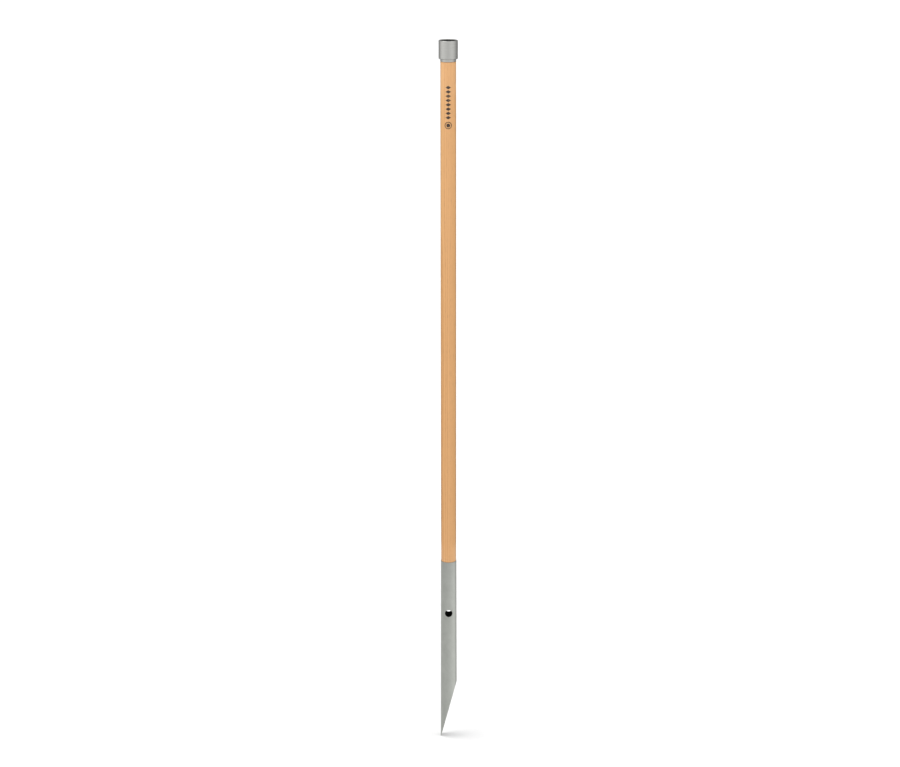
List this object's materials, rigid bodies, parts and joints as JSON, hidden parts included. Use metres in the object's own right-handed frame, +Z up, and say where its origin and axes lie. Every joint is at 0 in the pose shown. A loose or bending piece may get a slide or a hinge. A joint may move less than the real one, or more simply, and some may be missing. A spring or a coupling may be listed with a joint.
{
  "type": "garden dibber",
  "caption": "Long-handled garden dibber: a round wooden pole in a hollow steel spike with a slanted point and a cross hole, and a steel-sleeved open socket on top.",
  "frame": {"origin": "on the pole's axis, level with the tip of the point: the bottom centre of the bounding box", "axes": "+Z up the pole; -Y the front; +X the side that the slanted cut opens to, with the point on the -X side; the cross hole runs along Y and the side screws go in from +Y"},
  "size_m": [0.0336, 0.0336, 1.305],
  "materials": {
    "pole": "clear satin lacquer on straight-grained ash",
    "spike": "zinc-coated steel tube, satin",
    "cap": "brushed stainless steel",
    "liner": "moulded black plastic, fine texture",
    "fixings": "bright zinc plating"
  },
  "bodies": {
    "root": {"pole": "pole", "spike_tube": "spike", "spike_screw_upper": "fixings", "spike_screw_lower": "fixings", "top_ferrule": "cap", "socket_liner": "liner", "cap_sleeve": "cap", "cap_washer": "fixings", "cap_screw": "fixings"}
  },
  "joints": []
}
